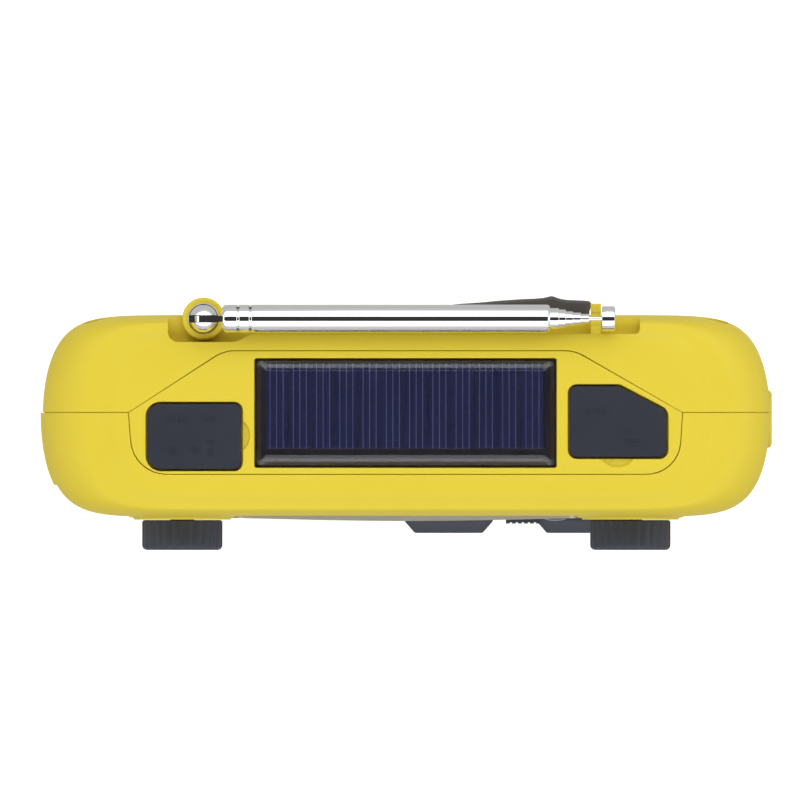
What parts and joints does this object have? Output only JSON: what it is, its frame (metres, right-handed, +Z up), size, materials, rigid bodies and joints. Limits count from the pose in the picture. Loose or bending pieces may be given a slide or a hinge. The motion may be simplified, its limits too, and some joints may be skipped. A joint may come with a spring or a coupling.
{
  "type": "portable radio",
  "caption": "Wind-up portable radio with a solar window, folding telescopic antenna, crank, knobs, push buttons, flashlight and covered sockets.",
  "frame": {"origin": "centre of the whole outline in plan, at the bottom of the feet", "axes": "+X to the radio's right as its user faces the front, +Y to its rear, +Z up"},
  "size_m": [0.1828, 0.0636, 0.0834],
  "materials": {
    "yellow_plastic": "moulded ABS, satin with a fine grain",
    "dark_plastic": "moulded ABS, matt charcoal",
    "grey_plastic": "moulded, matt",
    "black_plastic": "moulded, matt",
    "rubber": "moulded, matt",
    "silver_paint": "satin silver paint on moulded plastic",
    "chrome": "polished plated brass tube",
    "steel": "plain",
    "brass": "turned",
    "mirror_finish": "vacuum plated",
    "clear_plastic": "clear acrylic",
    "smoke_plastic": "dark translucent, glossy",
    "cell_blue": "dark blue cells on a board",
    "nylon": "moulded, natural",
    "paper_cone": "pressed paper",
    "board_green": "coated circuit board",
    "pack_green": "shrink wrap",
    "cell_wrap": "printed shrink wrap",
    "ferrite_grey": "ferrite with a wound coil",
    "pointer_red": "moulded red"
  },
  "bodies": {
    "case": {"front_shell": "yellow_plastic", "rear_shell": "yellow_plastic", "top_panel": "yellow_plastic", "flashlight_bezel": "dark_plastic", "tuning_capacitor": "grey_plastic", "battery_tray": "black_plastic", "phone_socket": "black_plastic", "foot_front_left": "rubber", "foot_front_right": "rubber", "foot_rear_left": "rubber", "foot_rear_right": "rubber", "front_fascia": "silver_paint", "charge_socket": "steel", "usb_output_socket": "steel", "generator": "steel", "volume_control": "steel", "speaker_frame": "steel", "case_screw_1": "steel", "case_screw_2": "steel", "case_screw_3": "steel", "case_screw_4": "steel", "crank_bushing": "brass", "flashlight_reflector": "mirror_finish", "solar_window": "clear_plastic", "dial_window": "clear_plastic", "flashlight_lens": "clear_plastic", "signal_lamp": "smoke_plastic", "solar_cell_board": "cell_blue", "speaker_cone": "paper_cone", "main_board": "board_green", "backup_pack": "pack_green", "battery_cell_1": "cell_wrap", "battery_cell_2": "cell_wrap", "battery_cell_3": "cell_wrap", "ferrite_rod": "ferrite_grey"},
    "antenna_base": {"antenna_knuckle": "chrome", "antenna_hinge_pin": "steel"},
    "antenna_stage_1": {"antenna_main_tube": "chrome"},
    "antenna_stage_2": {"antenna_tube_2": "chrome"},
    "antenna_stage_3": {"antenna_tube_3": "chrome"},
    "antenna_stage_4": {"antenna_tube_4": "chrome"},
    "antenna_stage_5": {"antenna_tube_5": "chrome"},
    "antenna_stage_6": {"antenna_tube_6": "chrome"},
    "antenna_rod": {"antenna_tip": "chrome"},
    "crank": {"crank_arm": "dark_plastic", "crank_gear": "nylon"},
    "grip": {"grip_yoke": "dark_plastic"},
    "grip_roller": {"grip_sleeve": "dark_plastic"},
    "idler": {"idler_gear": "nylon"},
    "generator_rotor": {"generator_pinion": "brass"},
    "volume": {"volume_knob": "dark_plastic"},
    "tuning": {"tuning_knob": "dark_plastic", "tuning_shaft": "brass"},
    "pointer": {"dial_pointer": "pointer_red"},
    "left_push": {"left_button": "dark_plastic"},
    "right_push": {"right_button": "dark_plastic"},
    "band_slide": {"band_switch": "dark_plastic"},
    "left_cover": {"left_port_cover": "rubber"},
    "right_cover": {"right_port_cover": "rubber"},
    "door": {"battery_door": "yellow_plastic"}
  },
  "joints": [
    {"name": "antenna_swivel", "type": "hinge", "parent": "case", "child": "antenna_base", "pos_m": [-0.0507, 0.02611, 0.0799], "axis": [0, 0, 1], "continuous": true},
    {"name": "antenna_tilt", "type": "hinge", "parent": "antenna_base", "child": "antenna_stage_1", "pos_m": [-0.0507, 0.02611, 0.0799], "axis": [0, -1, 0], "range_deg": [0, 180]},
    {"name": "antenna_slide_1", "type": "slide", "parent": "antenna_stage_1", "child": "antenna_stage_2", "axis": [1, 0, 0], "range_m": [0, 0.07]},
    {"name": "antenna_slide_2", "type": "slide", "parent": "antenna_stage_2", "child": "antenna_stage_3", "axis": [1, 0, 0], "range_m": [0, 0.07]},
    {"name": "antenna_slide_3", "type": "slide", "parent": "antenna_stage_3", "child": "antenna_stage_4", "axis": [1, 0, 0], "range_m": [0, 0.07]},
    {"name": "antenna_slide_4", "type": "slide", "parent": "antenna_stage_4", "child": "antenna_stage_5", "axis": [1, 0, 0], "range_m": [0, 0.07]},
    {"name": "antenna_slide_5", "type": "slide", "parent": "antenna_stage_5", "child": "antenna_stage_6", "axis": [1, 0, 0], "range_m": [0, 0.07]},
    {"name": "antenna_slide_6", "type": "slide", "parent": "antenna_stage_6", "child": "antenna_rod", "axis": [1, 0, 0], "range_m": [0, 0.07]},
    {"name": "crank_spin", "type": "hinge", "parent": "case", "child": "crank", "pos_m": [0.013, 0.02706, 0.036], "axis": [0, 1, 0], "continuous": true},
    {"name": "idler_spin", "type": "hinge", "parent": "case", "child": "idler", "pos_m": [0.02651, 0.02031, 0.0282], "axis": [0, 1, 0], "continuous": true},
    {"name": "generator_spin", "type": "hinge", "parent": "case", "child": "generator_rotor", "pos_m": [0.03948, 0.01381, 0.03292], "axis": [0, 1, 0], "continuous": true},
    {"name": "grip_fold", "type": "hinge", "parent": "crank", "child": "grip", "pos_m": [0.0415, 0.02779, 0.036], "axis": [0, 0, -1], "range_deg": [0, 90]},
    {"name": "grip_spin", "type": "hinge", "parent": "grip", "child": "grip_roller", "pos_m": [0.029, 0.02779, 0.036], "axis": [-1, 0, 0], "continuous": true},
    {"name": "volume_turn", "type": "hinge", "parent": "case", "child": "volume", "pos_m": [-0.056, -0.02439, 0.046], "axis": [0, 1, 0], "range_deg": [0, 300]},
    {"name": "tuning_turn", "type": "hinge", "parent": "case", "child": "tuning", "pos_m": [0.056, -0.02439, 0.046], "axis": [0, 1, 0], "range_deg": [0, 270]},
    {"name": "pointer_slide", "type": "slide", "parent": "case", "child": "pointer", "axis": [1, 0, 0], "range_m": [0, 0.017]},
    {"name": "left_button_press", "type": "slide", "parent": "case", "child": "left_push", "axis": [0, 1, 0], "range_m": [0, 0.001], "stiffness_N_per_m": 600},
    {"name": "right_button_press", "type": "slide", "parent": "case", "child": "right_push", "axis": [0, 1, 0], "range_m": [0, 0.001], "stiffness_N_per_m": 600},
    {"name": "band_switch_slide", "type": "slide", "parent": "case", "child": "band_slide", "axis": [1, 0, 0], "range_m": [-0.004, 0.004]},
    {"name": "left_cover_hinge", "type": "hinge", "parent": "case", "child": "left_cover", "pos_m": [-0.0639, 0.00181, 0.0759], "axis": [0, -1, 0], "range_deg": [0, 110]},
    {"name": "right_cover_hinge", "type": "hinge", "parent": "case", "child": "right_cover", "pos_m": [0, 0.00847, 0.0759], "axis": [-1, 0, 0], "range_deg": [0, 110]},
    {"name": "battery_door_hinge", "type": "hinge", "parent": "case", "child": "door", "pos_m": [-0.0743, 0.02576, 0.0335], "axis": [0, 0, 1], "range_deg": [0, 100]}
  ],
  "couplings": [
    {"joint": "idler_spin", "follows": "crank_spin", "ratio": -3.3333},
    {"joint": "generator_spin", "follows": "crank_spin", "ratio": 12},
    {"joint": "pointer_slide", "follows": "tuning_turn", "m_per_rad": 0.0036}
  ]
}
